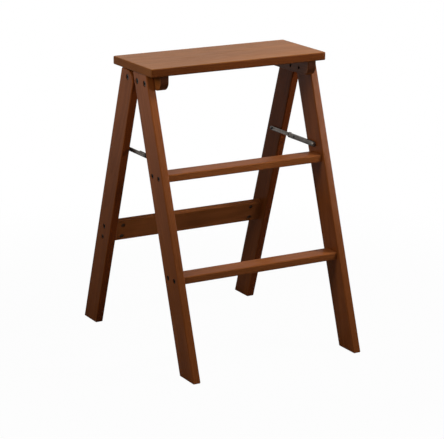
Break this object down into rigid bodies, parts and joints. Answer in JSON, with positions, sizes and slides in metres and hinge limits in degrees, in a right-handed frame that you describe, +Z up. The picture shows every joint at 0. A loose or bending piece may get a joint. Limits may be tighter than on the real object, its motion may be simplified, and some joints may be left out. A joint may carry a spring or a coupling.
{
  "type": "folding step stool",
  "caption": "Folding wooden step stool with a flat board top, two slim treads between straight front legs, and a rear frame that swings on bolts and is held open by steel stays.",
  "frame": {"origin": "on the floor, under the middle of the stool's footprint when it is open", "axes": "+Z up, X across the stool, with the treads on the -Y side and +X to the right of someone who faces the treads"},
  "size_m": [0.43, 0.5244, 0.64],
  "materials": {
    "wood_top": "satin lacquered walnut-brown stain, grain along X",
    "wood_frame": "satin lacquered walnut-brown stain, grain along the piece",
    "bolt_steel": "dark zinc-plated socket-head bolts",
    "nut_steel": "dark zinc-plated nuts",
    "screw_steel": "zinc-plated screws",
    "washer_steel": "zinc-plated washers and spacers",
    "stay_steel": "plated steel strip, satin",
    "rivet_steel": "plated steel rivet, satin"
  },
  "bodies": {
    "front_frame": {"top_board": "wood_top", "cleat_right": "wood_frame", "cleat_left": "wood_frame", "front_leg_right": "wood_frame", "front_leg_left": "wood_frame", "upper_tread": "wood_frame", "lower_tread": "wood_frame", "leg_bolts": "bolt_steel", "sleeve_nuts": "nut_steel", "upper_tread_bolts": "bolt_steel", "upper_tread_nuts": "nut_steel", "lower_tread_bolts": "bolt_steel", "lower_tread_nuts": "nut_steel", "cleat_screws": "screw_steel", "pivot_bolt_right": "bolt_steel", "pivot_bolt_left": "bolt_steel", "pivot_washer_right": "washer_steel", "pivot_washer_left": "washer_steel", "stay_front_screws": "screw_steel", "stay_front_spacers": "washer_steel"},
    "rear_frame": {"rear_leg_right": "wood_frame", "rear_leg_left": "wood_frame", "rear_stretcher": "wood_frame", "stretcher_bolts": "bolt_steel", "stretcher_nuts": "nut_steel", "stay_rear_screws": "screw_steel", "stay_rear_spacers": "washer_steel"},
    "stay_front_right": {"stay_front_link_right": "stay_steel", "rivet_head_right": "rivet_steel"},
    "stay_front_left": {"stay_front_link_left": "stay_steel", "rivet_head_left": "rivet_steel"},
    "stay_rear_right": {"stay_rear_link_right": "stay_steel", "rivet_tail_right": "rivet_steel"},
    "stay_rear_left": {"stay_rear_link_left": "stay_steel", "rivet_tail_left": "rivet_steel"}
  },
  "joints": [
    {"name": "fold", "type": "hinge", "parent": "front_frame", "child": "rear_frame", "pos_m": [0, 0.02995, 0.603], "axis": [-1, 0, 0], "range_deg": [0, 36.84]},
    {"name": "front_stay_turn_right", "type": "hinge", "parent": "front_frame", "child": "stay_front_right", "pos_m": [0.1888, -0.08587, 0.4365], "axis": [1, 0, 0], "range_deg": [0, 80.93]},
    {"name": "rear_stay_turn_right", "type": "hinge", "parent": "rear_frame", "child": "stay_rear_right", "pos_m": [0.1888, 0.09357, 0.4365], "axis": [-1, 0, 0], "range_deg": [0, 20.15]},
    {"name": "front_stay_turn_left", "type": "hinge", "parent": "front_frame", "child": "stay_front_left", "pos_m": [-0.1888, -0.08587, 0.4365], "axis": [1, 0, 0], "range_deg": [0, 80.93]},
    {"name": "rear_stay_turn_left", "type": "hinge", "parent": "rear_frame", "child": "stay_rear_left", "pos_m": [-0.1888, 0.09357, 0.4365], "axis": [-1, 0, 0], "range_deg": [0, 20.15]}
  ],
  "couplings": [
    {"joint": "front_stay_turn_right", "follows": "fold", "ratio": 2.1966},
    {"joint": "rear_stay_turn_right", "follows": "fold", "ratio": 0.54691},
    {"joint": "front_stay_turn_left", "follows": "fold", "ratio": 2.1966},
    {"joint": "rear_stay_turn_left", "follows": "fold", "ratio": 0.54691}
  ]
}
